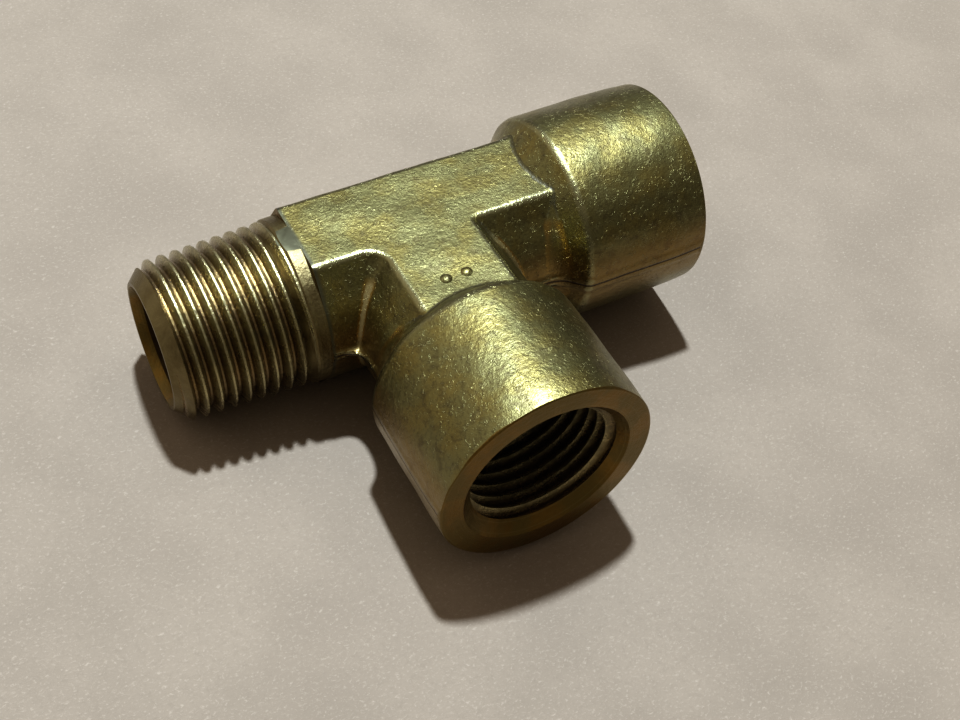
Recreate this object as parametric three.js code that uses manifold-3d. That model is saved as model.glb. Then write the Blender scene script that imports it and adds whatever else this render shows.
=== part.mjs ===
// Brass street tee, 1/2-14 NPT: one forging with three machined ends.
// The run lies along X, with a male taper thread at -X and a female socket at +X.
// The branch is a second female socket towards -Y. Millimetres, +Z up.
import * as THREE from "three";
import { mergeVertices } from "three/addons/utils/BufferGeometryUtils.js";
import Module from "manifold-3d";

// ---- Driving dimensions -------------------------------------------------

// Pipe thread: 14 turns an inch, 60 degree flanks, 1 in 16 taper on the diameter.
const PITCH = 25.4 / 14;
const TAPER = 1 / 32; // change of radius for each millimetre along the axis
const THREAD_DEPTH = 1.35;
const FLANK_ANGLE = Math.PI / 6; // of each flank from square to the axis
const THREAD_FLAT = PITCH - 2 * THREAD_DEPTH * Math.tan(FLANK_ANGLE);

// Reach of each end from the point where the run and branch axes cross.
const MALE_REACH = 35.2;
const SOCKET_REACH = 38.6;

// Male end.
const MALE_CREST_RADIUS = 10.38; // at the end face
const MALE_FACE_RADIUS = 8.4; // inside the entry chamfer
const SHOULDER = 15.4; // where the turned length stops against the forging
const RUNOUT = 3.4; // from the shoulder to the first full turn
const PLAIN_PROUD = 0.05; // how far the plain length by the shoulder stands over the crests
const MALE_ROOT = 2; // how far the turned end is carried into the body
const MALE_THREAD_PHASE = 0.73; // places the crests along the axis, in turns

// Forged body: a round barrel under a flat-topped ridge with drafted sides.
const HALF_HEIGHT = 10.9;
const CROWN_EDGE_RADIUS = 1.0;
const RUN_ARM = { crown: 5.9, barrel: 11.1 };
const BRANCH_ARM = { crown: 6.3, barrel: 11.6 };
const ARM_REACH = 18.9; // both arms end inside their socket collars
const PARTING_FILLET = 1.2; // notch corners at mid height, and all the way up on the socket side
const OPEN_NOTCH_FILLET = 2.5; // corner on the male side, at the crown

// Socket collars.
const COLLAR_RADIUS = 14.35;
const COLLAR_BACK = 20.2; // where the conical back reaches the full radius
const COLLAR_BACK_SLOPE = 1.06; // rise of radius for each millimetre
const COLLAR_BACK_ROUND = 1.3;
const COLLAR_RIM_ROUND = 0.5;
const COLLAR_ROOT_RADIUS = 8; // where the conical back starts, inside the barrel

// Bores.
const BORE_RADIUS = 7.15;
const DRILL_RADIUS = 8.7;
const DRILL_DEPTH = 17;
const SOCKET_CREST_RADIUS = 10.6; // outermost reach of the internal thread at the face
const THREADED_DEPTH = 15.5;
const TAP_THREAD_PHASE = 0.18; // places the grooves along the axis, in turns
const TAP_LEAD = 1.5 * PITCH; // length over which the tap's first turns deepen
const DRILL_POINT_ANGLE = Math.PI / 6; // of the drill's cutting edges from square to its axis
const COUNTERSINK_RADIUS = 11.2;
const COUNTERSINK_DEPTH = 2.5; // down to the drilled radius, a 90 degree cone
const MALE_SINK_RADIUS = 7.9; // of the male end's countersink, at the end face
const MALE_SINK_DEPTH = 1.3; // down to the bore, a 60 degree cone
const OVERCUT = 1; // how far a cutter stands out of the face it enters

// Number of flat facets round each turned surface, and of levels in the forged body.
const COLLAR_FACETS = 40;
const THREAD_FACETS = 24;
const SIDE_LEVELS = 6; // from mid height to the crown edge
const EDGE_LEVELS = 3; // round the crown edge
const FILLET_STEPS = 4;

const BRASS = { color: 0x8f8440, roughness: 0.38, metalness: 1.0 };

// ---- Solids ---------------------------------------------------------------

const wasm = await Module();
wasm.setup();

// A closed three.js geometry as a manifold-3d solid.
function solidFrom(geometry) {
  const bare = geometry.clone();
  bare.deleteAttribute("normal");
  bare.deleteAttribute("uv");
  const merged = mergeVertices(bare, 1e-4);
  const corners = merged.index.array;
  const triangles = [];
  for (let i = 0; i < corners.length; i += 3) {
    const [a, b, c] = corners.slice(i, i + 3);
    // A profile point on the axis makes triangles with no area.
    if (a !== b && b !== c && c !== a) triangles.push(a, b, c);
  }
  return new wasm.Manifold(
    new wasm.Mesh({
      numProp: 3,
      vertProperties: merged.attributes.position.array,
      triVerts: new Uint32Array(triangles),
    }),
  );
}

function geometryFrom(solid) {
  const { numProp, vertProperties, triVerts } = solid.getMesh();
  const positions = new THREE.BufferAttribute(vertProperties, numProp);
  const indexed = new THREE.BufferGeometry();
  indexed.setAttribute("position", positions);
  indexed.setIndex(new THREE.BufferAttribute(triVerts, 1));
  const faceted = indexed.toNonIndexed();
  faceted.computeVertexNormals();
  return faceted;
}

function surfaceFrom(points, triangles) {
  const geometry = new THREE.BufferGeometry();
  geometry.setFromPoints(points);
  geometry.setIndex(triangles);
  return geometry;
}

// ---- Turned shapes --------------------------------------------------------

// Every turned shape is made along +Y, measured outwards from the crossing of the axes.
const ALONG = {
  socketEnd: (geometry) => geometry.rotateZ(-Math.PI / 2), // towards +X
  maleEnd: (geometry) => geometry.rotateZ(Math.PI / 2), // towards -X
  branchEnd: (geometry) => geometry.rotateX(Math.PI), // towards -Y
};

// A solid of revolution from [distance along the axis, radius] pairs, innermost first.
function turned(profile, facets = COLLAR_FACETS) {
  const [first] = profile[0];
  const [last] = profile[profile.length - 1];
  const closed = [[first, 0], ...profile, [last, 0]];
  const points = closed.map(([along, radius]) => new THREE.Vector2(radius, along));
  return new THREE.LatheGeometry(points, facets);
}

// Points on a round corner between two straight stretches of a profile.
function roundCorner(before, corner, after, radius, steps = 3) {
  const at = new THREE.Vector2(...corner);
  const back = new THREE.Vector2(...before).sub(at).normalize();
  const on = new THREE.Vector2(...after).sub(at).normalize();
  const halfAngle = Math.acos(back.dot(on)) / 2;
  const reach = radius / Math.tan(halfAngle);
  const start = at.clone().addScaledVector(back, reach);
  const end = at.clone().addScaledVector(on, reach);
  const curve = new THREE.QuadraticBezierCurve(start, at, end);
  return curve.getPoints(steps).map((point) => point.toArray());
}

// One turn of the ridge on a male thread: a flat crest, with a sharp root between turns.
const MALE_TURN = [
  { along: -THREAD_FLAT / 2, drop: 0 },
  { along: THREAD_FLAT / 2, drop: 0 },
  { along: PITCH / 2, drop: THREAD_DEPTH },
];

// One turn of a tap: a sharp crest, with a flat root that leaves the socket's flat crests.
const TAP_TURN = [
  { along: 0, drop: 0 },
  { along: PITCH / 2 - THREAD_FLAT / 2, drop: THREAD_DEPTH },
  { along: PITCH / 2 + THREAD_FLAT / 2, drop: THREAD_DEPTH },
];

// A tapered threaded rod along +Y. Its rows of points follow the right-hand helix.
function threadedRod({ from, to, crestRadiusAt, turn, phase = 0 }) {
  const firstTurn = Math.floor(from / PITCH) - 1;
  const lastTurn = Math.ceil(to / PITCH) + 1;
  const ridge = [];
  for (let n = firstTurn; n <= lastTurn; n++) {
    for (const { along, drop } of turn) {
      ridge.push({ along: (n + phase) * PITCH + along, drop });
    }
  }
  const points = [];
  const triangles = [];
  for (const { along, drop } of ridge) {
    for (let step = 0; step < THREAD_FACETS; step++) {
      const share = step / THREAD_FACETS;
      const angle = 2 * Math.PI * share;
      const y = along + PITCH * share;
      const radius = crestRadiusAt(y) - drop;
      points.push(new THREE.Vector3(radius * Math.sin(angle), y, radius * Math.cos(angle)));
    }
  }
  // After a whole turn each row runs on into the row one pitch further along.
  const index = (row, step) =>
    step < THREAD_FACETS
      ? row * THREAD_FACETS + step
      : (row + turn.length) * THREAD_FACETS + step - THREAD_FACETS;
  const closedRows = ridge.length - turn.length - 1;
  for (let row = 0; row < closedRows; row++) {
    for (let step = 0; step < THREAD_FACETS; step++) {
      const a = index(row, step);
      const b = index(row, step + 1);
      const c = index(row + 1, step + 1);
      const d = index(row + 1, step);
      triangles.push(a, b, c, a, c, d);
    }
  }
  // Each end is closed by a fan from the axis to the helix and its one-pitch step.
  const capEnd = (row, flip) => {
    const rim = [];
    for (let step = 0; step < THREAD_FACETS; step++) rim.push(index(row, step));
    for (let k = turn.length; k > 0; k--) rim.push(index(row + k, 0));
    const hub = points.length;
    points.push(new THREE.Vector3(0, points[index(row, 0)].y, 0));
    rim.forEach((corner, i) => {
      const next = rim[(i + 1) % rim.length];
      triangles.push(...(flip ? [hub, next, corner] : [hub, corner, next]));
    });
  };
  capEnd(0, true);
  capEnd(closedRows, false);
  return surfaceFrom(points, triangles);
}

// ---- Forged body ------------------------------------------------------------

// Half-width of an arm at height z: barrel, then drafted side, then rounded crown edge.
function armHalfWidth(z, { crown, barrel }) {
  const height = Math.abs(z);
  const draft =
    Math.atan2(HALF_HEIGHT, crown) - Math.acos(barrel / Math.hypot(crown, HALF_HEIGHT));
  if (height <= barrel * Math.sin(draft)) return Math.sqrt(barrel ** 2 - height ** 2);
  const edgeHeight = HALF_HEIGHT - CROWN_EDGE_RADIUS;
  const edgeCentre =
    (barrel - CROWN_EDGE_RADIUS - edgeHeight * Math.sin(draft)) / Math.cos(draft);
  const overEdge = height - edgeHeight;
  if (overEdge <= CROWN_EDGE_RADIUS * Math.sin(draft)) {
    return (barrel - height * Math.sin(draft)) / Math.cos(draft);
  }
  const drop = Math.max(0, CROWN_EDGE_RADIUS ** 2 - overEdge ** 2);
  return edgeCentre + Math.sqrt(drop);
}

// Plan outline of the body at one height, anticlockwise, with filleted notch corners.
function planOutline(z) {
  const run = armHalfWidth(z, RUN_ARM);
  const branch = armHalfWidth(z, BRANCH_ARM);
  const rise = Math.abs(z) / HALF_HEIGHT;
  const open = THREE.MathUtils.lerp(PARTING_FILLET, OPEN_NOTCH_FILLET, rise);
  const tight = PARTING_FILLET;
  const plan = new THREE.Path();
  plan.moveTo(-SHOULDER, run);
  plan.lineTo(-SHOULDER, -run);
  plan.absarc(-branch - open, -run - open, open, Math.PI / 2, 0, true);
  plan.lineTo(-branch, -ARM_REACH);
  plan.lineTo(branch, -ARM_REACH);
  plan.absarc(branch + tight, -run - tight, tight, Math.PI, Math.PI / 2, true);
  plan.lineTo(ARM_REACH, -run);
  plan.lineTo(ARM_REACH, run);
  return plan.getPoints(FILLET_STEPS);
}

// The body as a stack of plan outlines from the bottom die half to the top one.
function forgedBody() {
  const edgeHeight = HALF_HEIGHT - CROWN_EDGE_RADIUS;
  const upper = [];
  for (let i = 0; i <= SIDE_LEVELS; i++) upper.push((edgeHeight * i) / SIDE_LEVELS);
  for (let i = 1; i <= EDGE_LEVELS; i++) {
    const turn = (Math.PI / 2) * (i / EDGE_LEVELS);
    upper.push(edgeHeight + CROWN_EDGE_RADIUS * Math.sin(turn));
  }
  const lower = upper.slice(1).reverse().map((z) => -z);
  const heights = [...lower, ...upper];
  const outlines = heights.map((z) => planOutline(z));
  const count = outlines[0].length;
  const rows = outlines.map((outline, level) =>
    outline.map(({ x, y }) => new THREE.Vector3(x, y, heights[level])),
  );
  const triangles = [];
  for (let level = 0; level + 1 < rows.length; level++) {
    for (let i = 0; i < count; i++) {
      const next = (i + 1) % count;
      const a = level * count + i;
      const b = level * count + next;
      triangles.push(a, b, b + count, a, b + count, a + count);
    }
  }
  const top = (rows.length - 1) * count;
  for (const [a, b, c] of THREE.ShapeUtils.triangulateShape(outlines[0], [])) {
    triangles.push(c, b, a);
    triangles.push(top + a, top + b, top + c);
  }
  return surfaceFrom(rows.flat(), triangles);
}

// Collar of a female end: conical back, rounded shoulder, straight wall, eased rim.
function collar() {
  const backStart = COLLAR_BACK - (COLLAR_RADIUS - COLLAR_ROOT_RADIUS) / COLLAR_BACK_SLOPE;
  const root = [backStart, COLLAR_ROOT_RADIUS];
  const back = [COLLAR_BACK, COLLAR_RADIUS];
  const rim = [SOCKET_REACH, COLLAR_RADIUS];
  const bore = [SOCKET_REACH, COUNTERSINK_RADIUS];
  return turned([
    root,
    ...roundCorner(root, back, rim, COLLAR_BACK_ROUND),
    ...roundCorner(back, rim, bore, COLLAR_RIM_ROUND, 2),
  ]);
}

// ---- Machined male end ------------------------------------------------------

const maleCrestAt = (along) => MALE_CREST_RADIUS + (MALE_REACH - along) * TAPER;

function maleEnd() {
  const chamfer = maleCrestAt(0) - MALE_FACE_RADIUS;
  const fadeEnd = SHOULDER + RUNOUT / 2;
  const fullTurn = SHOULDER + RUNOUT;
  const blank = turned([
    [(SHOULDER + fadeEnd) / 2, MALE_FACE_RADIUS + chamfer],
    [MALE_REACH - chamfer, MALE_FACE_RADIUS + chamfer],
    [MALE_REACH, MALE_FACE_RADIUS],
  ]);
  const rod = threadedRod({
    from: SHOULDER,
    to: MALE_REACH,
    crestRadiusAt: maleCrestAt,
    turn: MALE_TURN,
    phase: MALE_THREAD_PHASE,
  });
  // The core fills the last turns, where the die lifts out of the cut.
  const core = turned([
    [SHOULDER - MALE_ROOT, HALF_HEIGHT - MALE_ROOT / 2],
    [SHOULDER, maleCrestAt(SHOULDER) + PLAIN_PROUD],
    [fadeEnd, maleCrestAt(fadeEnd) + PLAIN_PROUD],
    [fullTurn, maleCrestAt(fullTurn) - THREAD_DEPTH],
  ]);
  const threaded = solidFrom(ALONG.maleEnd(rod)).intersect(solidFrom(ALONG.maleEnd(blank)));
  // The forging is no taller than its crown, so the turned end has a flat above and below.
  const bar = new THREE.BoxGeometry(4 * MALE_REACH, 4 * HALF_HEIGHT, 2 * HALF_HEIGHT);
  return threaded.add(solidFrom(ALONG.maleEnd(core))).intersect(solidFrom(bar));
}

// ---- Bores and internal threads ----------------------------------------------

const socketCrestAt = (along) => SOCKET_CREST_RADIUS - (SOCKET_REACH - along) * TAPER;

// Everything that the drill, the tap and the countersink take out of one socket.
function socketCutter(place) {
  const mouth = SOCKET_REACH + OVERCUT;
  const drillEnd = SOCKET_REACH - DRILL_DEPTH;
  const pointLength = (DRILL_RADIUS - BORE_RADIUS) * Math.tan(DRILL_POINT_ANGLE);
  const drill = turned(
    [
      [0, BORE_RADIUS],
      [drillEnd - pointLength, BORE_RADIUS],
      [drillEnd, DRILL_RADIUS],
      [mouth, DRILL_RADIUS],
    ],
    THREAD_FACETS,
  );
  const sinkStart = SOCKET_REACH - COUNTERSINK_DEPTH;
  const sinkRise = (COUNTERSINK_RADIUS - DRILL_RADIUS) / COUNTERSINK_DEPTH;
  const countersink = turned([
    [sinkStart - OVERCUT, DRILL_RADIUS - 2 * OVERCUT],
    [sinkStart, DRILL_RADIUS],
    [mouth, COUNTERSINK_RADIUS + OVERCUT * sinkRise],
  ]);
  const tapEnd = SOCKET_REACH - THREADED_DEPTH;
  const tap = threadedRod({
    from: tapEnd,
    to: SOCKET_REACH,
    crestRadiusAt: socketCrestAt,
    turn: TAP_TURN,
    phase: TAP_THREAD_PHASE,
  });
  const tapReach = turned([
    [tapEnd, DRILL_RADIUS],
    [tapEnd + TAP_LEAD, SOCKET_CREST_RADIUS + OVERCUT],
    [mouth, SOCKET_CREST_RADIUS + OVERCUT],
  ]);
  const thread = solidFrom(place(tap)).intersect(solidFrom(place(tapReach)));
  return solidFrom(place(drill)).add(solidFrom(place(countersink))).add(thread);
}

function maleBore() {
  const sinkRise = (MALE_SINK_RADIUS - BORE_RADIUS) / MALE_SINK_DEPTH;
  return turned(
    [
      [0, BORE_RADIUS],
      [MALE_REACH - MALE_SINK_DEPTH, BORE_RADIUS],
      [MALE_REACH + OVERCUT, MALE_SINK_RADIUS + OVERCUT * sinkRise],
    ],
    THREAD_FACETS,
  );
}

// ---- Assembly -----------------------------------------------------------------

function teeBody() {
  const forging = solidFrom(forgedBody())
    .add(solidFrom(ALONG.socketEnd(collar())))
    .add(solidFrom(ALONG.branchEnd(collar())))
    .add(maleEnd());
  const machined = forging
    .subtract(socketCutter(ALONG.socketEnd))
    .subtract(socketCutter(ALONG.branchEnd))
    .subtract(solidFrom(ALONG.maleEnd(maleBore())));
  const mesh = new THREE.Mesh(geometryFrom(machined), new THREE.MeshStandardMaterial(BRASS));
  mesh.name = "tee_body";
  return mesh;
}

// The part's origin is on the surface it lies on, under the middle of its outline.
const streetTee = new THREE.Group();
const body = teeBody();
body.position.set(
  (MALE_REACH - SOCKET_REACH) / 2,
  (SOCKET_REACH - COLLAR_RADIUS) / 2,
  COLLAR_RADIUS,
);
streetTee.add(body);

export default streetTee;
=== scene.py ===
"""A brass street tee, 1/2-14 NPT: the look of one forging with three machined ends.

Shapes are worked out in millimetres round the crossing of the two axes, as the CAD part is,
and moved into the frame, in metres, once they are whole.
"""

import itertools
import math

import bpy
import numpy as np
from mathutils import Matrix, Vector, noise


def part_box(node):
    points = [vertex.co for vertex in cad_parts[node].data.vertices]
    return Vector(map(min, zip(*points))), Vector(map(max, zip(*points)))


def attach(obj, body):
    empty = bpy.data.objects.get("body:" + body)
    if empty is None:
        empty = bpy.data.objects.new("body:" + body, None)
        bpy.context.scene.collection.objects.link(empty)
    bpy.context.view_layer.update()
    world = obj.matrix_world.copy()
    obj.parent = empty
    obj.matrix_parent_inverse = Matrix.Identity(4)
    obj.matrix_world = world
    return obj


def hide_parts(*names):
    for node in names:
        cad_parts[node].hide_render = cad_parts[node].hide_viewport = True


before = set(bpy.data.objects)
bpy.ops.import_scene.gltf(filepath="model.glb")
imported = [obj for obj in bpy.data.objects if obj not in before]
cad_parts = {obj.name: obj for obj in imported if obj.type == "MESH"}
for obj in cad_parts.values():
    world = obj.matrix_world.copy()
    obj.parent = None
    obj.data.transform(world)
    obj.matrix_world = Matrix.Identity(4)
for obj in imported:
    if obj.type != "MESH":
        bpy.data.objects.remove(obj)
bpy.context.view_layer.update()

MM = 0.001

# ---- The tee's dimensions, in millimetres from the crossing of the axes ------------------

PITCH = 25.4 / 14
TAPER = 1 / 32  # of the radius, along the thread
THREAD_DEPTH = 1.35
FLANK_ANGLE = math.radians(30)
CREST_FLAT = PITCH - 2 * THREAD_DEPTH * math.tan(FLANK_ANGLE)
ROOT_FLAT = 0.26

MALE_REACH = 35.2
SOCKET_REACH = 38.6
MALE_CREST_RADIUS = 10.38
MALE_FACE_RADIUS = 8.4  # inside the chamfer
SHOULDER = 15.4  # where the male end leaves the forging
RUNOUT = 3.4  # from the shoulder to the first full turn of thread
PLAIN_PROUD = 0.12  # of the plain ring, over the thread's crests
MALE_ROOT = 2.0  # how far the male end reaches into the forging
MALE_THREAD_PHASE = 0.73  # in turns
TAP_THREAD_PHASE = 0.18

HALF_HEIGHT = 10.9
CROWN_EDGE_RADIUS = 1.0
RUN_ARM = (5.9, 11.1)  # half-width of the crown, radius of the barrel
BRANCH_ARM = (6.3, 11.6)
ARM_OVERLAP = 2.0  # of each arm, into the back of its collar
NOTCH_FILLET = 0.55
OPEN_NOTCH_FILLET = 2.4  # in the corner of the crown on the male side
NOTCH_OPENING = 6  # how late the notch opens towards the crown, as a power of the height

COLLAR_RADIUS = 14.35
COLLAR_BACK = 20.2  # where its cone would reach its full radius
COLLAR_BACK_ANGLE = math.atan(1.06)  # of the cone, from the axis
COLLAR_BACK_ROUND = 1.5
COLLAR_FOOT_FILLET = 1.6  # at mid height, easing to the next one at the crown
CROWN_FOOT_FILLET = 0.2
COLLAR_RIM_ROUND = 0.35
RIM_RELIEF = math.radians(12)  # of the facing cut, from the collar's wall
RIM_LENGTH = 4.0  # over which the collar's wall draws in towards its face
RIM_LEAN = 0.18  # how far it has drawn in at the face

BORE_RADIUS = 7.15
DRILL_RADIUS = 8.7
DRILL_DEPTH = 17.0
DRILL_POINT = math.radians(30)  # of its cone, from square to the axis
SOCKET_CREST_RADIUS = 10.6
THREADED_DEPTH = 15.5
TAP_LEAD = 1.5 * PITCH
COUNTERSINK_RADIUS = 11.2
COUNTERSINK_DEPTH = 2.5
MALE_SINK_RADIUS = 7.9
MALE_SINK_DEPTH = 1.3
OVERCUT = 1.0  # of a cutter, past the face that it cuts

FACE_STOCK = 0.6  # left on the forging for the facing cut

PIP_PLACES = ((-1.5, -14.2), (1.3, -14.2))  # of the vent pips, on the crown
PIP_RADIUS = 0.75
PIP_HEIGHT = 0.3

# ---- Forged blank: a signed distance field, meshed on a grid -----------------------------


def round_inside(a, b, radius, cosine=0.0):
    """Distance to where a and b are both negative, with the edge between them rounded.

    The cosine is that of the angle between their normals.
    """
    a = a + radius
    b = b + radius
    span = 1 - cosine**2
    in_corner = (a > b * cosine) & (b > a * cosine)
    corner = np.sqrt(np.maximum(a * a + b * b - 2 * a * b * cosine, 0) / span)
    return np.where(in_corner, corner, np.maximum(a, b)) - radius


def fillet_join(a, b, radius):
    """Distance to the union of a and b, with a concave fillet where they meet."""
    return -round_inside(-a, -b, radius)


def arm_draft(arm):
    """Angle of an arm's side from upright, tangent to its barrel and through its crown's edge."""
    crown, barrel = arm
    return math.atan2(HALF_HEIGHT, crown) - math.acos(barrel / math.hypot(crown, HALF_HEIGHT))


def arm_side(across, height, arm):
    """Barrel below the tangent point, and the drafted side above it, without the crown."""
    draft = arm_draft(arm)
    barrel = arm[1]
    across = np.abs(across)
    height = np.abs(height)
    on_side = height * math.cos(draft) > across * math.sin(draft)
    side = across * math.cos(draft) + height * math.sin(draft)
    return np.where(on_side, side, np.hypot(across, height)) - barrel


def collar(along, radius):
    """A socket's collar: conical back, rounded shoulder, and a wall that draws in at the rim."""
    cone = (radius - COLLAR_RADIUS) * math.cos(COLLAR_BACK_ANGLE)
    cone = cone - (along - COLLAR_BACK) * math.sin(COLLAR_BACK_ANGLE)
    to_rim = np.maximum(along - (SOCKET_REACH - RIM_LENGTH), 0) / RIM_LENGTH
    wall = radius - COLLAR_RADIUS + RIM_LEAN * to_rim**2
    outside = round_inside(cone, wall, COLLAR_BACK_ROUND, math.cos(COLLAR_BACK_ANGLE))
    return np.maximum(outside, along - SOCKET_REACH - FACE_STOCK)


WAVES = 14
WAVE_HEIGHT = 0.012
WAVE_LENGTHS = (3.5, 14.0)  # the shortest and the longest
WAVE_SEED = 5


def waviness(points):
    """The slight unevenness of a forged surface: a sum of waves in seeded random directions."""
    random = np.random.default_rng(WAVE_SEED)
    total = np.zeros(len(points))
    for _ in range(WAVES):
        direction = random.normal(size=3)
        length = random.uniform(*WAVE_LENGTHS)
        turn = 2 * math.pi / length / np.linalg.norm(direction)
        total += WAVE_HEIGHT * np.sin(points @ direction * turn + random.uniform(0, 2 * math.pi))
    return total


FLASH_HALF_WIDTH = 1.05
FLASH_PROUD = 0.1
FLASH_EDGE = 0.8  # the height over which the band fades out
WEB_HALF_THICKNESS = 0.25
WEB_FILLET = 3.4
WEB_BLEND = 0.9


def forging(points):
    """Distance to the forged surface, before any machining."""
    x, y, z = points.T
    height = np.abs(z)
    run = arm_side(y, z, RUN_ARM)
    run = np.maximum(run, x - COLLAR_BACK - ARM_OVERLAP)
    branch = np.maximum(arm_side(x, z, BRANCH_ARM), y)
    branch = np.maximum(branch, -COLLAR_BACK - ARM_OVERLAP - y)
    rise = np.clip(height / HALF_HEIGHT, 0, 1)
    open_fillet = NOTCH_FILLET + (OPEN_NOTCH_FILLET - NOTCH_FILLET) * rise**NOTCH_OPENING
    fillet = np.where(x < 0, open_fillet, NOTCH_FILLET)
    sides = fillet_join(run, branch, fillet)
    # A thin web of flash is left in the bottom of each notch.
    web = np.maximum(fillet_join(run, branch, WEB_FILLET), height - WEB_HALF_THICKNESS)
    sides = fillet_join(sides, web, WEB_BLEND)
    crown_cosine = math.sin(arm_draft(RUN_ARM))
    arms = round_inside(sides, height - HALF_HEIGHT, CROWN_EDGE_RADIUS, crown_cosine)
    foot = COLLAR_FOOT_FILLET + (CROWN_FOOT_FILLET - COLLAR_FOOT_FILLET) * rise**2
    body = fillet_join(arms, collar(x, np.hypot(y, z)), foot)
    body = fillet_join(body, collar(-y, np.hypot(x, z)), foot)
    # The trimmed flash leaves a narrow band round the parting line, with soft edges.
    band = np.clip((FLASH_HALF_WIDTH - height) / FLASH_EDGE + 0.5, 0, 1)
    body = body - FLASH_PROUD * band * band * (3 - 2 * band) - waviness(points)
    return np.maximum(body, -SHOULDER - MALE_ROOT / 2 - x)


def cell_points(field):
    """A point for each cell that the surface crosses, in grid steps, and each such cell's number."""
    cells = tuple(size - 1 for size in field.shape)
    total = np.zeros(cells + (3,))
    crossings = np.zeros(cells, int)
    for axis, u, v in itertools.product(range(3), (0, 1), (0, 1)):
        others = [a for a in range(3) if a != axis]
        start = np.zeros(3, int)
        start[others] = u, v
        near = tuple(slice(s, s + c) for s, c in zip(start, cells))
        offset = start.astype(float)
        start[axis] = 1
        far = tuple(slice(s, s + c) for s, c in zip(start, cells))
        a, b = field[near], field[far]
        cross = (a < 0) != (b < 0)
        share = np.where(cross, a / np.where(a == b, 1, a - b), 0)
        total[cross] += offset
        total[..., axis][cross] += share[cross]
        crossings += cross
    used = crossings > 0
    number = np.full(cells, -1)
    number[used] = np.arange(used.sum())
    return np.argwhere(used) + total[used] / crossings[used][:, None], number


def cell_quads(inside, number):
    """A quad round each grid edge that the surface crosses, facing out."""
    quads = []
    for axis in range(3):
        u, v = [(1, 2), (2, 0), (0, 1)][axis]
        cut = [slice(1, -1)] * 3
        cut[axis] = slice(0, -1)
        cut_next = list(cut)
        cut_next[axis] = slice(1, None)
        a, b = inside[tuple(cut)], inside[tuple(cut_next)]
        at = np.argwhere(a != b)
        at[:, [u, v]] += 1
        flip = ~a[a != b]
        corners = []
        for du, dv in ((-1, -1), (0, -1), (0, 0), (-1, 0)):
            cell = at.copy()
            cell[:, u] += du
            cell[:, v] += dv
            corners.append(number[cell[:, 0], cell[:, 1], cell[:, 2]])
        quad = np.stack(corners, 1)
        quad[flip] = quad[flip][:, ::-1]
        quads.append(quad)
    return np.concatenate(quads)


def forging_slope(points, reach):
    """The gradient of the forging's distance field, from differences over the reach."""
    steps = np.eye(3) * reach
    return np.stack([forging(points + s) - forging(points - s) for s in steps], 1) / (2 * reach)


VOXEL = 0.36
SETTLE_STEPS = 5
SETTLE_REACH = 0.02
SETTLE_LIMIT = 0.3  # on the length of one step
LEAST_SLOPE = 0.2  # squared; it keeps a step finite where the field is flat


def settle(points):
    """Moves points onto the zero surface of the forging."""
    for _ in range(SETTLE_STEPS):
        slope = forging_slope(points, SETTLE_REACH)
        move = forging(points) / np.maximum((slope**2).sum(1), LEAST_SLOPE)
        points = points - slope * np.clip(move, -SETTLE_LIMIT, SETTLE_LIMIT)[:, None]
    return points


def forged_blank():
    """The forging's mesh: a point in each crossed cell of a grid, moved onto the surface."""
    margin = 3 * VOXEL
    face = SOCKET_REACH + FACE_STOCK
    low = np.array([-SHOULDER - MALE_ROOT, -face, -COLLAR_RADIUS]) - margin
    high = np.array([face, COLLAR_RADIUS, COLLAR_RADIUS]) + margin
    counts = np.ceil((high - low) / VOXEL).astype(int) + 1
    axes = [low[i] + VOXEL * np.arange(counts[i]) for i in range(3)]
    grid = np.stack(np.meshgrid(*axes, indexing="ij"), -1).reshape(-1, 3)
    field = forging(grid).reshape(counts)
    places, number = cell_points(field)
    return settle(low + places * VOXEL), cell_quads(field < 0, number)


# ---- Turned and threaded shapes, made along +Y -------------------------------------------

TO_SOCKET_END = np.array([[0, 1, 0], [-1, 0, 0], [0, 0, 1]])
TO_MALE_END = np.array([[0, -1, 0], [1, 0, 0], [0, 0, 1]])
TO_BRANCH_END = np.array([[1, 0, 0], [0, -1, 0], [0, 0, -1]])

TURNED_FACETS = 160
THREAD_FACETS = 144
CORNER_STEPS = 6


def turned(profile, facets=TURNED_FACETS):
    """A closed solid of revolution from (along, radius) pairs, innermost first."""
    points = [(0, profile[0][0], 0)]
    for along, radius in profile:
        for step in range(facets):
            angle = 2 * math.pi * step / facets
            points.append((radius * math.sin(angle), along, radius * math.cos(angle)))
    points.append((0, profile[-1][0], 0))
    faces = []
    last = len(points) - 1
    final_ring = 1 + (len(profile) - 1) * facets
    for step in range(facets):
        after = (step + 1) % facets
        faces.append((0, 1 + after, 1 + step))
        faces.append((last, final_ring + step, final_ring + after))
        for ring in range(len(profile) - 1):
            a = 1 + ring * facets
            faces.append((a + step, a + after, a + facets + after, a + facets + step))
    return np.array(points), faces


def slab(half_height):
    """A box that reaches past the tee along X and Y."""
    far = 2 * SOCKET_REACH
    corners = [(x, y, z) for z in (-half_height, half_height) for y in (-far, far) for x in (-far, far)]
    faces = [(0, 2, 3, 1), (4, 5, 7, 6), (0, 1, 5, 4), (2, 6, 7, 3), (0, 4, 6, 2), (1, 3, 7, 5)]
    return np.array(corners), faces


def round_corner(before, corner, after, radius):
    """Points on an arc that rounds one corner of a profile."""
    at = Vector(corner)
    back = (Vector(before) - at).normalized()
    on = (Vector(after) - at).normalized()
    half = back.angle(on) / 2
    start = at + back * (radius / math.tan(half))
    centre = at + (back + on).normalized() * (radius / math.sin(half))
    sweep = math.pi - 2 * half
    turn = 1 if back.cross(on) < 0 else -1
    arm = start - centre
    angles = [turn * sweep * step / CORNER_STEPS for step in range(CORNER_STEPS + 1)]
    return [tuple(centre + Matrix.Rotation(angle, 2) @ arm) for angle in angles]


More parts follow.
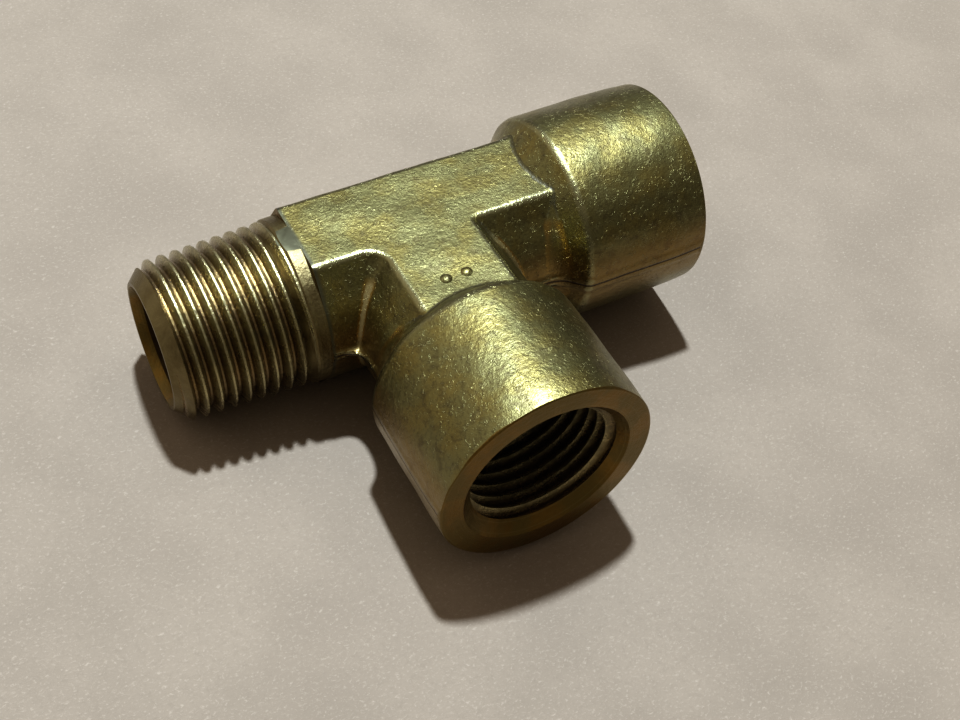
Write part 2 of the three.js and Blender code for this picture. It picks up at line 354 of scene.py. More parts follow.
# One turn of each thread, as (along, drop below the crest line) pairs.
MALE_TURN = [
    (-CREST_FLAT / 2, 0),
    (CREST_FLAT / 2, 0),
    (PITCH / 2 - ROOT_FLAT / 2, THREAD_DEPTH - ROOT_FLAT / 2),
    (PITCH / 2 + ROOT_FLAT / 2, THREAD_DEPTH - ROOT_FLAT / 2),
]
TAP_TURN = [
    (-ROOT_FLAT / 2, ROOT_FLAT / 2),
    (ROOT_FLAT / 2, ROOT_FLAT / 2),
    (PITCH / 2 - CREST_FLAT / 2, THREAD_DEPTH),
    (PITCH / 2 + CREST_FLAT / 2, THREAD_DEPTH),
]


NICK_DEPTH = 0.11
NICKS_AROUND = 9.0
NICKS_ALONG = 2.2  # per millimetre
NICK_LEVEL = 0.12  # of the noise, above which a crest is nicked


def nick(angle, along):
    """How deep a crest is nicked at one place."""
    spot = Vector((math.sin(angle) * NICKS_AROUND, along * NICKS_ALONG, math.cos(angle) * NICKS_AROUND))
    return NICK_DEPTH * max(0, noise.noise(spot) - NICK_LEVEL)


def threaded_rod(start, end, crest_at, turn, phase, nicked=False):
    """A tapered threaded rod whose rows of points follow the right-hand helix."""
    ridge = []
    for n in range(math.floor(start / PITCH) - 1, math.ceil(end / PITCH) + 2):
        ridge += [((n + phase) * PITCH + along, drop) for along, drop in turn]
    points = []
    for along, drop in ridge:
        for step in range(THREAD_FACETS):
            share = step / THREAD_FACETS
            angle = 2 * math.pi * share
            y = along + PITCH * share
            radius = crest_at(y) - drop
            if nicked and drop == 0:
                radius -= nick(angle, y)
            points.append((radius * math.sin(angle), y, radius * math.cos(angle)))
    per_turn = len(turn)

    def index(row, step):
        if step < THREAD_FACETS:
            return row * THREAD_FACETS + step
        return (row + per_turn) * THREAD_FACETS + step - THREAD_FACETS

    closed_rows = len(ridge) - per_turn - 1
    faces = []
    for row in range(closed_rows):
        for step in range(THREAD_FACETS):
            a, b = index(row, step), index(row, step + 1)
            c, d = index(row + 1, step + 1), index(row + 1, step)
            faces.append((a, b, c, d))
    for row, flip in ((0, False), (closed_rows, True)):
        rim = [index(row, step) for step in range(THREAD_FACETS)]
        rim += [index(row + k, 0) for k in range(per_turn, 0, -1)]
        hub = len(points)
        points.append((0, points[index(row, 0)][1], 0))
        for corner, after in zip(rim, rim[1:] + rim[:1]):
            faces.append((hub, corner, after) if flip else (hub, after, corner))
    return np.array(points), faces


# ---- Meshes and Boolean steps ------------------------------------------------------------


def solid(name, shape, material, place=np.eye(3)):
    """A mesh object, with its faces out, from points and faces in millimetres."""
    points, faces = shape
    mesh = bpy.data.meshes.new(name)
    mesh.from_pydata((points @ place.T).tolist(), [], [tuple(map(int, f)) for f in faces])
    mesh.materials.append(material)
    shown = bpy.data.objects.new(name, mesh)
    bpy.context.scene.collection.objects.link(shown)
    return shown


def combine(target, operation, *tools):
    """Cuts, joins or intersects target with each tool in turn, and removes the tools."""
    for tool in tools:
        step = target.modifiers.new("step", "BOOLEAN")
        step.solver = "MANIFOLD"
        step.material_mode = "TRANSFER"
        step.operation = operation
        step.object = tool
    evaluated = target.evaluated_get(bpy.context.evaluated_depsgraph_get())
    mesh = bpy.data.meshes.new_from_object(evaluated)
    target.modifiers.clear()
    spent = target.data
    target.data = mesh
    bpy.data.meshes.remove(spent)
    for tool in tools:
        bpy.data.meshes.remove(tool.data)
    return target


def male_crest_at(along):
    """The male thread's crest radius, this far from the crossing."""
    return MALE_CREST_RADIUS + (MALE_REACH - along) * TAPER


def socket_crest_at(along):
    """The tapped thread's crest radius, this far from the crossing."""
    return SOCKET_CREST_RADIUS - (SOCKET_REACH - along) * TAPER


def male_end(thread, ring, skin):
    """The threaded end: chamfered at the tip, and fading out into a plain ring at the shoulder."""
    full = male_crest_at(0)
    fade_end = SHOULDER + RUNOUT / 2
    full_turn = SHOULDER + RUNOUT
    chamfer_start = (MALE_REACH - (full - MALE_FACE_RADIUS), full)
    blank = turned([((SHOULDER + fade_end) / 2, full), chamfer_start, (MALE_REACH, MALE_FACE_RADIUS)])
    rod = threaded_rod(SHOULDER, MALE_REACH, male_crest_at, MALE_TURN, MALE_THREAD_PHASE, nicked=True)
    core = turned([
        (SHOULDER - MALE_ROOT, HALF_HEIGHT - MALE_ROOT / 2),
        (SHOULDER, male_crest_at(SHOULDER) + PLAIN_PROUD),
        (fade_end, male_crest_at(fade_end) + PLAIN_PROUD),
        (full_turn, male_crest_at(full_turn) - THREAD_DEPTH),
    ])
    threaded = solid("thread", rod, thread, TO_MALE_END)
    combine(threaded, "INTERSECT", solid("blank", blank, ring, TO_MALE_END))
    combine(threaded, "UNION", solid("core", core, ring, TO_MALE_END))
    # The forging is no taller than its crown, so the turned ring has a flat above and below.
    return combine(threaded, "INTERSECT", solid("slab", slab(HALF_HEIGHT), skin))


def socket_cutter(place, thread, turned_face):
    """All that is cut from one socket: bore, drill, tapped thread and countersink."""
    mouth = SOCKET_REACH + OVERCUT
    drill_end = SOCKET_REACH - DRILL_DEPTH
    point_length = (DRILL_RADIUS - BORE_RADIUS) * math.tan(DRILL_POINT)
    drill = turned([
        (0, BORE_RADIUS),
        (drill_end - point_length, BORE_RADIUS),
        (drill_end, DRILL_RADIUS),
        (mouth, DRILL_RADIUS),
    ])
    sink_start = SOCKET_REACH - COUNTERSINK_DEPTH
    rise = (COUNTERSINK_RADIUS - DRILL_RADIUS) / COUNTERSINK_DEPTH
    countersink = turned([
        (sink_start - OVERCUT, DRILL_RADIUS - 2 * OVERCUT),
        (sink_start, DRILL_RADIUS),
        (mouth, COUNTERSINK_RADIUS + OVERCUT * rise),
    ])
    tap_end = SOCKET_REACH - THREADED_DEPTH
    tap = threaded_rod(tap_end, SOCKET_REACH, socket_crest_at, TAP_TURN, TAP_THREAD_PHASE)
    tap_reach = turned([
        (tap_end, DRILL_RADIUS),
        (tap_end + TAP_LEAD, SOCKET_CREST_RADIUS + OVERCUT),
        (mouth, SOCKET_CREST_RADIUS + OVERCUT),
    ])
    cutter = solid("tap", tap, thread, place)
    combine(cutter, "INTERSECT", solid("tap_reach", tap_reach, thread, place))
    return combine(
        cutter, "UNION",
        solid("drill", drill, thread, place),
        solid("countersink", countersink, turned_face, place),
    )


# ---- Materials ---------------------------------------------------------------------------


def material(name):
    """An empty material, and its node tree."""
    made = bpy.data.materials.new(name)
    made.use_nodes = True
    made.node_tree.nodes.clear()
    return made, made.node_tree


def node(tree, kind, settings=None, **inputs):
    """Adds a node. An input is a value, or another node's output socket."""
    made = tree.nodes.new("ShaderNode" + kind)
    for key, value in (settings or {}).items():
        setattr(made, key, value)
    for key, value in inputs.items():
        socket = made.inputs[int(key[1:])] if key[0] == "_" else made.inputs[key.replace("_", " ")]
        if isinstance(value, bpy.types.NodeSocket):
            tree.links.new(value, socket)
        else:
            socket.default_value = value
    return made


def math_node(tree, operation, a, b=0.0):
    return node(tree, "Math", {"operation": operation}, _0=a, _1=b).outputs[0]


def product(tree, a, b):
    return math_node(tree, "MULTIPLY", a, b)


def millimetres(tree):
    """The place on the object, in millimetres from the crossing of the axes."""
    place = node(tree, "TexCoord").outputs["Object"]
    moved = node(tree, "VectorMath", {"operation": "SUBTRACT"}, _0=place, _1=CROSSING)
    scaled = node(tree, "VectorMath", {"operation": "SCALE"}, _0=moved.outputs[0], Scale=1 / MM)
    return scaled.outputs[0]


def noise_value(tree, place, scale, detail, roughness=0.5, distortion=0.0):
    """Noise with this many features a millimetre and octaves of detail."""
    made = node(
        tree, "TexNoise", None,
        Vector=place, Scale=scale, Detail=detail, Roughness=roughness, Distortion=distortion,
    )
    return made.outputs["Fac"]


def spread(tree, value, low, high, to_low=0.0, to_high=1.0):
    """Maps low..high to to_low..to_high with soft ends."""
    made = node(
        tree, "MapRange", {"interpolation_type": "SMOOTHSTEP"},
        Value=value, From_Min=low, From_Max=high, To_Min=to_low, To_Max=to_high,
    )
    return made.outputs["Result"]


MIX_COLOURS = (6, 7)  # the Mix node's colour inputs, after those for numbers and vectors
MIX_RESULT = 2


def blend(tree, share, a, b):
    """The colour a, turning to b as share goes from 0 to 1."""
    made = node(tree, "Mix", {"data_type": "RGBA"}, Factor=share)
    for index, value in zip(MIX_COLOURS, (a, b)):
        if isinstance(value, bpy.types.NodeSocket):
            tree.links.new(value, made.inputs[index])
        else:
            made.inputs[index].default_value = (*value, 1)
    return made.outputs[MIX_RESULT]


def cover(tree, colour, *coverings):
    """Lays (share, colour) pairs over a colour, one after another."""
    for share, covering in coverings:
        colour = blend(tree, share, colour, covering)
    return colour


def bump(tree, height, depth, normal=None):
    """A normal for this height, whose full range is depth millimetres."""
    made = node(tree, "Bump", None, Height=height, Strength=1.0, Distance=depth * MM)
    if normal is not None:
        tree.links.new(normal, made.inputs["Normal"])
    return made.outputs[0]


TARNISH_ROUGHNESS = 0.38


def metal(tree, colour, roughness, normal, metallic=1.0, tarnish=1.0):
    """Brass under a thin dull film, which whitens its highlights."""
    shader = node(
        tree, "BsdfPrincipled", None,
        Base_Color=colour, Roughness=roughness, Normal=normal, Metallic=metallic,
        Coat_Weight=tarnish, Coat_Roughness=TARNISH_ROUGHNESS, Coat_Normal=normal,
    )
    node(tree, "OutputMaterial", None, Surface=shader.outputs[0])


def attribute(tree, name):
    """A value that the mesh holds on each vertex."""
    return node(tree, "Attribute", {"attribute_name": name}).outputs["Fac"]


SKIN_OLIVE = (0.220, 0.198, 0.076)
SKIN_GOLD = (0.244, 0.198, 0.058)
SKIN_STAIN = (0.090, 0.064, 0.018)
# Painted reflection: the warm floor as the brass would mirror it, on the sides near the parting plane.
SKIN_PAINTED_FLOOR_REFLECTION = (0.262, 0.155, 0.034)
# Painted glint: a pale colour on the flecks, standing in for their sparkle.
SKIN_PAINTED_GLINT = (0.36, 0.32, 0.16)
PATCH_GREY = (0.15, 0.142, 0.085)
# Outside edges are lightened, partly as rubbed wear and partly as a painted highlight.
EDGE_WEAR_AND_HIGHLIGHT = (0.34, 0.32, 0.17)
# Painted reflection: orange light, as mirrored from the lit skin, in the hollow coves.
COVE_PAINTED_REFLECTION = (0.56, 0.35, 0.075)
# Painted highlight along the creases, and painted shade in them near the crown.
CREASE_PAINTED_HIGHLIGHT = (0.34, 0.29, 0.16)
CREASE_PAINTED_SHADE = (0.07, 0.055, 0.028)
# Painted shade: a dark line for the shadow in the step along the parting plane.
PARTING_PAINTED_SHADE = (0.04, 0.02, 0.008)

# Features a millimetre, octaves of detail, roughness and distortion of each noise.
PATCHES = (0.25, 3.0)
STAINS = (0.55, 4.0, 0.62, 0.4)
SPECKS = (2.2, 4.0, 0.72)
GRAIN = (1.25, 4.0, 0.74)
FLECKS = (1.5, 3.0, 0.6, 1.0)

# The values a map starts from, and those it gives when they aren't 0 and 1.
GOLD_RANGE = (0.40, 0.66)
STAIN_RANGE = (0.48, 0.72, 0.0, 0.65)
SPECK_RANGE = (0.50, 0.66, 0.0, 0.45)
GLINT_RANGE = (0.58, 0.66)
EDGE_RANGE = (0.25, 0.9, 0.0, 0.7)
COVE_RANGE = (-0.05, -0.7)
CREASE_RANGE = (-0.78, -1.0, 0.0, 0.75)
WIPED_RANGE = (0.9, 0.2)
DULL_RANGE = (0.40, 0.75, 0.37, 0.48)
RUBBED_RANGE = (0.2, 0.9, 0.0, 0.12)

# The same, for heights above or below the parting plane and for places along the run.
# Where the painted floor reflection lies: fullest near the parting plane, gone by the upper sides.
FLOOR_REFLECTION_HEIGHTS = (2.0, 6.5, 0.6, 0.0)
COVE_HEIGHTS = (1.0, 2.5)
COVE_TOP = (8.5, 7.5)
CREASE_HEIGHTS = (0.8, 2.5, 0.3, 1.0)
# Above these heights a crease is painted as shade instead of as a highlight.
CREASE_SHADE_HEIGHTS = (7.5, 9.5)
PARTING_HEIGHTS = (0.0, 0.24, 1.0, 0.0)
GRAINY_PLACES = (-SHOULDER - 0.1, -SHOULDER + 0.9, 0.1, 1.0)

# How far the flecks are lightened as a painted glint.
PAINTED_GLINT_SHARE = 0.25
COVE_REFLECTION_SHARE = 0.5
COVE_POLISH = 0.12
CREASE_DULLNESS = 0.4
GLINT_DEPTH = 0.030
GRAIN_DEPTH = 0.085
PARTING_DEPTH = 0.06
SKIN_TARNISH = 0.9


def forged_skin():
    """Shot-blasted die skin: fine grain, flecks that glint (with a painted glint), dull stains, rubbed
    edges (lightened partly as a painted highlight), pale creases (a painted highlight, with painted
    shade near the crown), painted reflections in the coves and of the floor near the parting plane, and
    a painted shadow line along the parting.
    """
    made, tree = material("forged_skin")
    place = millimetres(tree)
    axes = node(tree, "SeparateXYZ", None, Vector=place)
    height = math_node(tree, "ABSOLUTE", axes.outputs["Z"])
    edge = attribute(tree, "edge")
    stains = noise_value(tree, place, *STAINS)
    glint = spread(tree, noise_value(tree, place, *FLECKS), *GLINT_RANGE)
    parting = spread(tree, height, *PARTING_HEIGHTS)
    # The skin is smoother where the lathe has wiped it next to the shoulder.
    grainy = spread(tree, axes.outputs["X"], *GRAINY_PLACES)
    # The cove mask: hollows at mid height, which get a painted reflection and a smoother finish.
    cove = product(tree, spread(tree, edge, *COVE_RANGE), spread(tree, height, *COVE_HEIGHTS))
    cove = product(tree, cove, spread(tree, height, *COVE_TOP))
    crease = product(tree, spread(tree, edge, *CREASE_RANGE), spread(tree, height, *CREASE_HEIGHTS))
    # Creases: a painted highlight low down, painted shade towards the crown.
    crease_painted_light = blend(tree, spread(tree, height, *CREASE_SHADE_HEIGHTS), CREASE_PAINTED_HIGHLIGHT, CREASE_PAINTED_SHADE)

    colour = cover(
        tree, SKIN_OLIVE,
        (spread(tree, noise_value(tree, place, *PATCHES), *GOLD_RANGE), SKIN_GOLD),
        (spread(tree, stains, *STAIN_RANGE), SKIN_STAIN),
        (spread(tree, noise_value(tree, place, *SPECKS), *SPECK_RANGE), SKIN_STAIN),
        # Painted reflection of the warm floor, on the sides near the parting plane.
        (spread(tree, height, *FLOOR_REFLECTION_HEIGHTS), SKIN_PAINTED_FLOOR_REFLECTION),
        # Outside edges lightened: rubbed wear, and a painted highlight.
        (spread(tree, edge, *EDGE_RANGE), EDGE_WEAR_AND_HIGHLIGHT),
        # Painted glint on the flecks.
        (product(tree, glint, PAINTED_GLINT_SHARE), SKIN_PAINTED_GLINT),
        # Painted reflection in the coves.
        (product(tree, cove, COVE_REFLECTION_SHARE), COVE_PAINTED_REFLECTION),
        # Painted highlight low down and painted shade near the crown, along the creases.
        (crease, crease_painted_light),
        # Painted shadow line along the parting plane.
        (parting, PARTING_PAINTED_SHADE),
        (spread(tree, grainy, *WIPED_RANGE), PATCH_GREY),
    )

    roughness = spread(tree, stains, *DULL_RANGE)
    roughness = math_node(tree, "SUBTRACT", roughness, spread(tree, edge, *RUBBED_RANGE))
    roughness = math_node(tree, "SUBTRACT", roughness, product(tree, cove, COVE_POLISH))
    roughness = math_node(tree, "ADD", roughness, product(tree, crease, CREASE_DULLNESS))

    grain = noise_value(tree, place, *GRAIN)
    normal = bump(tree, product(tree, glint, grainy), GLINT_DEPTH)
    normal = bump(tree, product(tree, grain, grainy), GRAIN_DEPTH, normal)
    normal = bump(tree, parting, -PARTING_DEPTH, normal)
    metal(tree, colour, roughness, normal, tarnish=SKIN_TARNISH)
    return made


CREST_BRASS = (0.42, 0.37, 0.20)
ROOT_BROWN = (0.235, 0.160, 0.056)
TURNED_BROWN = (0.222, 0.136, 0.030)
TURNED_OLIVE = (0.190, 0.134, 0.038)
RING_PALE = (0.23, 0.185, 0.09)
RING_GREY = (0.17, 0.130, 0.058)
BORE_BROWN = (0.06, 0.034, 0.012)

TOOL_MARK_DETAIL = 3.0
CUT_PATCHES = (0.5, 3.0, 0.6)

TURNED_MARKS = 2.6  # a millimetre
TURNED_MARK_DEPTH = 0.015
TURNED_PATCHES = (0.3, 3.0, 0.55)
TURNED_GRAIN = (1.8, 4.0, 0.7)
TURNED_GRAIN_DEPTH = 0.09
TURNED_PALE_RANGE = (0.38, 0.62)
TURNED_BRIGHT_RANGE = (0.55, 0.75, 0.0, 0.15)
TURNED_ROUGHNESS = (0.3, 0.7, 0.34, 0.46)
TURNED_TARNISH = 0.4

BORE_MARKS = 2.0
BORE_MARK_DEPTH = 0.05
BORE_OLIVE_RANGE = (0.35, 0.65, 0.0, 0.3)
BORE_ROUGHNESS = 0.7
BORE_METALLIC = 0.5

THREAD_MARKS = 5.0
THREAD_MARK_DEPTH = 0.03
THREAD_GRAIN = (1.5, 4.5, 0.76)
THREAD_GRAIN_DEPTH = 0.12
THREAD_ROOT_RANGE = (0.05, 0.95)
THREAD_STAIN_RANGE = (0.5, 0.72, 0.0, 0.45)
THREAD_ROUGHNESS = (0.35, 0.7, 0.22, 0.38)


def tool_marks(tree, axis, marks):
    """Noise in rings round an axis: bands of radius on a face, and of distance along a wall."""
    place = node(tree, "SeparateXYZ", None, Vector=millimetres(tree))
    along = place.outputs[axis]
    across = [place.outputs[i] for i in range(3) if i != axis]
    squares = [product(tree, offset, offset) for offset in across]
    radius = math_node(tree, "SQRT", math_node(tree, "ADD", *squares))
    ring = math_node(tree, "ADD", radius, math_node(tree, "ABSOLUTE", along))
    settings = {"noise_dimensions": "1D"}
    return node(tree, "TexNoise", settings, W=ring, Scale=marks, Detail=TOOL_MARK_DETAIL).outputs["Fac"]


def turned_brass(name, axis, dark=TURNED_BROWN, pale=TURNED_OLIVE):
    """A faced or turned surface: rings from the tool, darker and smoother than the skin."""
    made, tree = material(name)
    place = millimetres(tree)
    rings = tool_marks(tree, axis, TURNED_MARKS)
    patches = noise_value(tree, place, *TURNED_PATCHES)
    colour = cover(
        tree, dark,
        (spread(tree, patches, *TURNED_PALE_RANGE), pale),
        (spread(tree, rings, *TURNED_BRIGHT_RANGE), CREST_BRASS),
    )
    normal = bump(tree, rings, TURNED_MARK_DEPTH)
    normal = bump(tree, noise_value(tree, place, *TURNED_GRAIN), TURNED_GRAIN_DEPTH, normal)
    metal(tree, colour, spread(tree, patches, *TURNED_ROUGHNESS), normal, tarnish=TURNED_TARNISH)
    return made


def bored_brass():
    """The wall of the male end's bore: drilled, oxidised brown, with no polish left."""
    made, tree = material("bored")
    patches = noise_value(tree, millimetres(tree), *CUT_PATCHES)
    colour = blend(tree, spread(tree, patches, *BORE_OLIVE_RANGE), BORE_BROWN, TURNED_OLIVE)
    normal = bump(tree, tool_marks(tree, 0, BORE_MARKS), BORE_MARK_DEPTH)
    metal(tree, colour, BORE_ROUGHNESS, normal, BORE_METALLIC, tarnish=0.0)
    return made


def threaded_brass(name, axis):
    """Cut threads: bright rubbed crests over brown roots, with fine marks along the cut."""
    made, tree = material(name)
    place = millimetres(tree)
    patches = noise_value(tree, place, *CUT_PATCHES)
    colour = cover(
        tree, CREST_BRASS,
        (spread(tree, attribute(tree, "depth"), *THREAD_ROOT_RANGE), ROOT_BROWN),
        (spread(tree, patches, *THREAD_STAIN_RANGE), SKIN_STAIN),
    )
    normal = bump(tree, tool_marks(tree, axis, THREAD_MARKS), THREAD_MARK_DEPTH)
    normal = bump(tree, noise_value(tree, place, *THREAD_GRAIN), THREAD_GRAIN_DEPTH, normal)
    metal(tree, colour, spread(tree, patches, *THREAD_ROUGHNESS), normal)
    return made


# ---- The tee -----------------------------------------------------------------------------

low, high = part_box("tee_body")
CROSSING = Vector((low.x + MALE_REACH * MM, high.y - COLLAR_RADIUS * MM, (low.z + high.z) / 2))

EPSILON = 1e-9
NORMAL_REACH = 0.08
EDGE_REACH = 0.45
ON_SKIN = 0.02  # how near a point is to the forged surface when it is on it
SHARP_ANGLE = math.radians(33)
PIP_RINGS = 7
PIP_FACETS = 48
PIP_ROOT = 1.0  # below the crown


def pip(place, skin):
    """A shallow round pip, left by a vent in the die."""
    sphere = (PIP_RADIUS**2 + PIP_HEIGHT**2) / (2 * PIP_HEIGHT)
    profile = [(HALF_HEIGHT - PIP_ROOT, PIP_RADIUS)]
    for ring in range(PIP_RINGS):
        angle = math.asin(PIP_RADIUS / sphere) * (1 - ring / PIP_RINGS)
        height = HALF_HEIGHT + PIP_HEIGHT - sphere * (1 - math.cos(angle))
        profile.append((height, sphere * math.sin(angle)))
    points, faces = turned(profile, PIP_FACETS)
    to_crown = np.array([[1, 0, 0], [0, 0, 1], [0, 1, 0]])
    raised = points @ to_crown.T + (*place, 0)
    return solid("pip", (raised, [face[::-1] for face in faces]), skin)


def vertices(mesh):
    """The places of a mesh's vertices."""
    points = np.empty(len(mesh.vertices) * 3)
    mesh.vertices.foreach_get("co", points)
    return points.reshape(-1, 3)


def whole_numbers(items, name):
    """One whole number that each item of a mesh holds."""
    values = np.empty(len(items), int)
    items.foreach_get(name, values)
    return values


def smooth_skin(mesh):
    """Gives the forged skin the normals of the distance field; cut faces keep their own."""
    points = vertices(mesh)
    slope = forging_slope(points, NORMAL_REACH)
    normal = slope / np.maximum(np.linalg.norm(slope, axis=1), EPSILON)[:, None]
    on_skin = np.abs(forging(points)) < ON_SKIN
    corner_vertex = whole_numbers(mesh.loops, "vertex_index")
    face_size = whole_numbers(mesh.polygons, "loop_total")
    is_skin = whole_numbers(mesh.polygons, "material_index") == 0  # the forging's own slot
    skin_corner = np.repeat(is_skin, face_size) & on_skin[corner_vertex]
    mesh.normals_split_custom_set(np.where(skin_corner[:, None], normal[corner_vertex], 0).tolist())


def surface_facts(mesh):
    """Writes how sharp an edge is, and how deep in a thread, on each vertex."""
    points = vertices(mesh)
    # The field's Laplacian is above 0 on an outside edge, and below 0 in a hollow.
    around = sum(forging(points + s) + forging(points - s) for s in np.eye(3) * EDGE_REACH)
    edge = np.clip((around - 6 * forging(points)) / EDGE_REACH**2, -1, 1)
    x, y, z = points.T
    male_depth = male_crest_at(-x) - np.hypot(y, z)
    run_depth = np.hypot(y, z) - DRILL_RADIUS
    branch_depth = np.hypot(x, z) - DRILL_RADIUS
    depth = np.where(x < -SHOULDER, male_depth, np.where(x > -y, run_depth, branch_depth))
    depth = np.clip(depth / THREAD_DEPTH, 0, 1)
    for name, values in (("edge", edge), ("depth", depth)):
        mesh.attributes.new(name, "FLOAT", "POINT").data.foreach_set("value", values.astype(np.float32))


def face_cut():
    """What is turned off a socket's face: the forging's stock, and a small rounded rim."""
    fade = 3 * COLLAR_RIM_ROUND
    rim = COLLAR_RADIUS - RIM_LEAN
    relieved = (SOCKET_REACH - fade, rim + fade * math.tan(RIM_RELIEF))
    return turned([
        *round_corner((SOCKET_REACH, 0), (SOCKET_REACH, rim), relieved, COLLAR_RIM_ROUND),
        relieved,
        (relieved[0], 2 * COLLAR_RADIUS),
        (SOCKET_REACH + FACE_STOCK + OVERCUT, 2 * COLLAR_RADIUS),
    ])


def male_sink():
    """The countersink in the male end's bore."""
    rise = (MALE_SINK_RADIUS - BORE_RADIUS) / MALE_SINK_DEPTH
    return turned([
        (MALE_REACH - MALE_SINK_DEPTH, BORE_RADIUS),
        (MALE_REACH + OVERCUT, MALE_SINK_RADIUS + OVERCUT * rise),
    ])


def street_tee():
    """The whole fitting: the forging, faced, threaded and bored, and then moved into the frame."""
    skin = forged_skin()
    run_thread = threaded_brass("run_thread", 0)
    branch_thread = threaded_brass("branch_thread", 1)
    run_turned = turned_brass("run_turned", 0)
    branch_turned = turned_brass("branch_turned", 1)
    ring = turned_brass("ring", 0, RING_GREY, RING_PALE)
    bored = bored_brass()
    tee = solid("street_tee", forged_blank(), skin)
    wide = 2 * COLLAR_RADIUS
    shoulder_cut = turned([(SHOULDER, wide), (SHOULDER + 3 * MALE_ROOT, wide)])
    bore = turned([(0, BORE_RADIUS), (MALE_REACH + OVERCUT, BORE_RADIUS)])
    combine(tee, "DIFFERENCE", solid("shoulder_cut", shoulder_cut, run_turned, TO_MALE_END))
    combine(tee, "UNION", male_end(run_thread, ring, skin), *[pip(place, skin) for place in PIP_PLACES])
    combine(
        tee, "DIFFERENCE",
        solid("run_face", face_cut(), run_turned, TO_SOCKET_END),
        solid("branch_face", face_cut(), branch_turned, TO_BRANCH_END),
        socket_cutter(TO_SOCKET_END, run_thread, run_turned),
        socket_cutter(TO_BRANCH_END, branch_thread, branch_turned),
        solid("male_bore", bore, bored, TO_MALE_END),
        solid("male_sink", male_sink(), run_turned, TO_MALE_END),
    )
    mesh = tee.data
    surface_facts(mesh)
    mesh.shade_smooth()
    mesh.set_sharp_from_angle(angle=SHARP_ANGLE)
    smooth_skin(mesh)
    mesh.transform(Matrix.Translation(CROSSING) @ Matrix.Scale(MM, 4))
    return tee


tee = street_tee()
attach(tee, "root")
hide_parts("tee_body")

# ---- Floor, light and camera -------------------------------------------------------------

TIP_CONTACT = 2.0  # millimetres from the male face to the place that it rests on


def floor_plane():
    """The tee lies tipped: on the backs of both collars and on the tip of its male end."""
    tip_along = MALE_REACH - TIP_CONTACT
    run_contact = CROSSING + Vector((COLLAR_BACK, 0, -COLLAR_RADIUS)) * MM
    branch_contact = CROSSING + Vector((0, -COLLAR_BACK, -COLLAR_RADIUS)) * MM
    tip_contact = CROSSING + Vector((-tip_along, 0, -male_crest_at(tip_along))) * MM
    up = (branch_contact - run_contact).cross(tip_contact - run_contact).normalized()
    if up.z < 0:
        up.negate()
    touch = min((v.co - run_contact) @ up for v in tee.data.vertices)
    return run_contact + up * touch, up


FLOOR_SIZE = 3.0  # metres
FLOOR_PALE = (0.352, 0.284, 0.226)
FLOOR_DUSK = (0.290, 0.233, 0.184)
FLOOR_FIBRE = (0.47, 0.39, 0.318)

BLOTCHES = (0.05, 3.0)
MOTTLES = (0.9, 5.0, 0.8)
FIBRES = (2.4, 4.0, 0.75, 0.6)
FIBRE_TURN = 0.4
FIBRE_STRETCH = (0.8, 1.2, 1.0)
BLOTCH_RANGE = (0.30, 0.72, 0.0, 0.7)
MOTTLE_RANGE = (0.45, 0.7, 0.0, 0.5)
FIBRE_RANGE = (0.52, 0.72, 0.0, 0.75)
FIBRE_DEPTH = 0.05
FLOOR_ROUGHNESS = 0.75


def floor_paper():
    """Pale uneven paper with fine fibres."""
    made, tree = material("floor_paper")
    flat = node(tree, "TexCoord").outputs["Object"]
    place = node(tree, "VectorMath", {"operation": "SCALE"}, _0=flat, Scale=1 / MM).outputs[0]
    turn = (0, 0, FIBRE_TURN)
    stretched = node(tree, "Mapping", None, Vector=place, Rotation=turn, Scale=FIBRE_STRETCH)
    fibre = noise_value(tree, stretched.outputs[0], *FIBRES)
    colour = cover(
        tree, FLOOR_PALE,
        (spread(tree, noise_value(tree, place, *BLOTCHES), *BLOTCH_RANGE), FLOOR_DUSK),
        (spread(tree, noise_value(tree, place, *MOTTLES), *MOTTLE_RANGE), FLOOR_DUSK),
        (spread(tree, fibre, *FIBRE_RANGE), FLOOR_FIBRE),
    )
    shader = node(
        tree, "BsdfPrincipled", None,
        Base_Color=colour, Roughness=FLOOR_ROUGHNESS, Normal=bump(tree, fibre, FIBRE_DEPTH),
    )
    node(tree, "OutputMaterial", None, Surface=shader.outputs[0])
    return made


def lay_floor():
    """The floor is the stage, tilted so that the tee can stay square to its own axes."""
    origin, up = floor_plane()
    half = FLOOR_SIZE / 2
    mesh = bpy.data.meshes.new("floor")
    corners = [(-half, -half, 0), (half, -half, 0), (half, half, 0), (-half, half, 0)]
    mesh.from_pydata(corners, [], [(0, 1, 2, 3)])
    mesh.materials.append(floor_paper())
    floor = bpy.data.objects.new("floor", mesh)
    turn = Vector((0, 0, 1)).rotation_difference(up)
    floor.matrix_world = Matrix.Translation(origin) @ turn.to_matrix().to_4x4()
    bpy.context.scene.collection.objects.link(floor)


KEY_DIRECTION = Vector((0.12, 0.20, 1.0))
KEY_DISTANCE = 1.2  # metres
KEY_SIZE = 0.07
KEY_POWER = 15.4  # watts
KEY_COLOUR = (0.85, 1.0, 1.12)
WORLD_COLOUR = (0.79, 0.72, 0.61)
WORLD_HORIZON = 0.11
WORLD_ZENITH = 0.37
WALL_DIRECTION = (-0.73, 0.55, 0.40)  # a pale wall behind the male end
WALL_GLOW = 0.42
WALL_EDGES = (0.55, 0.95)  # cosines to its middle, where the glow starts and is full
ZENITH_RISE = 0.9  # the height of a direction where the room is brightest


def key_light():
    """One small soft light, high and a little behind the tee."""
    key = bpy.data.lights.new("key", "AREA")
    key.shape = "DISK"
    key.size = KEY_SIZE
    key.energy = KEY_POWER
    key.color = KEY_COLOUR
    shown = bpy.data.objects.new("key", key)
    back = KEY_DIRECTION.normalized()
    shown.location = CROSSING + back * KEY_DISTANCE
    shown.rotation_euler = (-back).to_track_quat("-Z", "Y").to_euler()
    bpy.context.scene.collection.objects.link(shown)


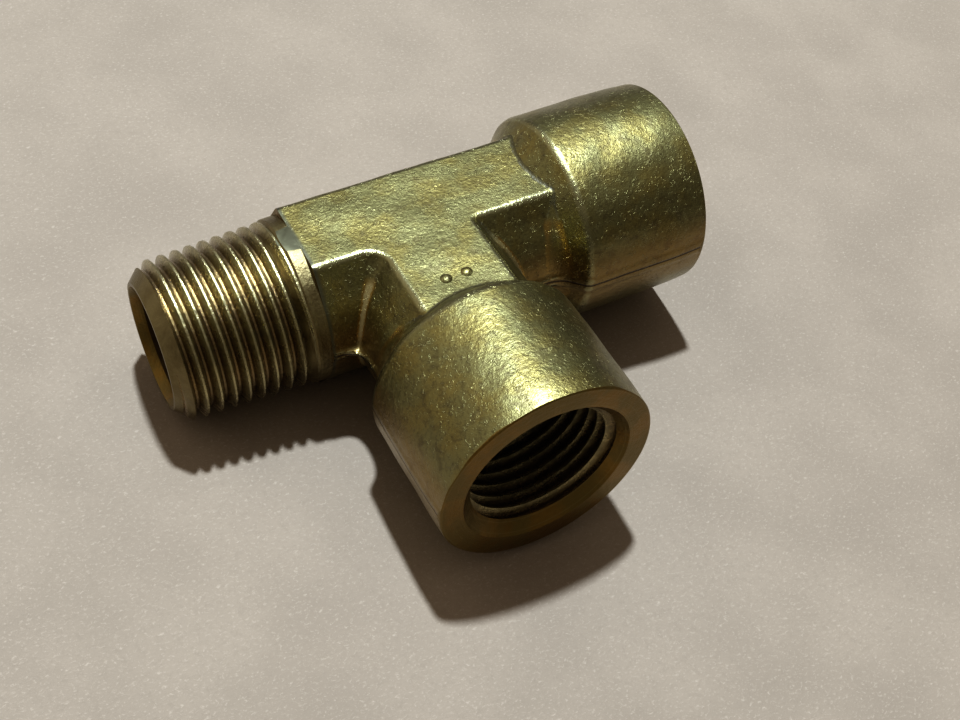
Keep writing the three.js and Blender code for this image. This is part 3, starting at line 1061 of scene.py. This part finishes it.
def room():
    """A warm soft room, brighter overhead and towards one wall."""
    world = bpy.data.worlds.new("room")
    world.use_nodes = True
    tree = world.node_tree
    background = tree.nodes["Background"]
    background.inputs["Color"].default_value = (*WORLD_COLOUR, 1)
    seen = node(tree, "TexCoord").outputs["Generated"]
    direction = node(tree, "SeparateXYZ", None, Vector=seen)
    overhead = spread(tree, direction.outputs["Z"], 0.0, ZENITH_RISE, WORLD_HORIZON, WORLD_ZENITH)
    toward = node(tree, "VectorMath", {"operation": "DOT_PRODUCT"}, _0=seen, _1=WALL_DIRECTION)
    wall = spread(tree, toward.outputs["Value"], *WALL_EDGES, 0.0, WALL_GLOW)
    tree.links.new(math_node(tree, "ADD", overhead, wall), background.inputs["Strength"])
    bpy.context.scene.world = world


VIEW_AZIMUTH = math.radians(-31.15)
VIEW_ELEVATION = math.radians(49.26)
VIEW_ROLL = math.radians(4.50)
VIEW_DISTANCE = 0.16835  # metres
VIEW_TARGET = Vector((1.0, -19.475, 0.0)) * MM  # from the crossing of the axes
LENS = 50.2  # millimetres, as the sensor's width is
SENSOR_WIDTH = 36.0
NEAR_LIMIT = 0.01


def place_camera():
    """Looks down on the branch from beside the male end."""
    camera = bpy.data.cameras.new("camera")
    camera.lens = LENS
    camera.sensor_width = SENSOR_WIDTH
    camera.clip_start = NEAR_LIMIT
    flat = math.cos(VIEW_ELEVATION)
    across, along = math.sin(VIEW_AZIMUTH), math.cos(VIEW_AZIMUTH)
    back = Vector((flat * across, -flat * along, math.sin(VIEW_ELEVATION)))
    level = Vector((0, 0, 1)).cross(back).normalized()
    rise = back.cross(level)
    right = level * math.cos(VIEW_ROLL) + rise * math.sin(VIEW_ROLL)
    up = back.cross(right)
    turn = Matrix((right, up, back)).transposed().to_4x4()
    shown = bpy.data.objects.new("camera", camera)
    shown.matrix_world = Matrix.Translation(CROSSING + VIEW_TARGET + back * VIEW_DISTANCE) @ turn
    bpy.context.scene.collection.objects.link(shown)
    bpy.context.scene.camera = shown


lay_floor()
key_light()
room()
place_camera()
bpy.context.scene.view_settings.view_transform = "Standard"
bpy.context.scene.view_settings.look = "High Contrast"
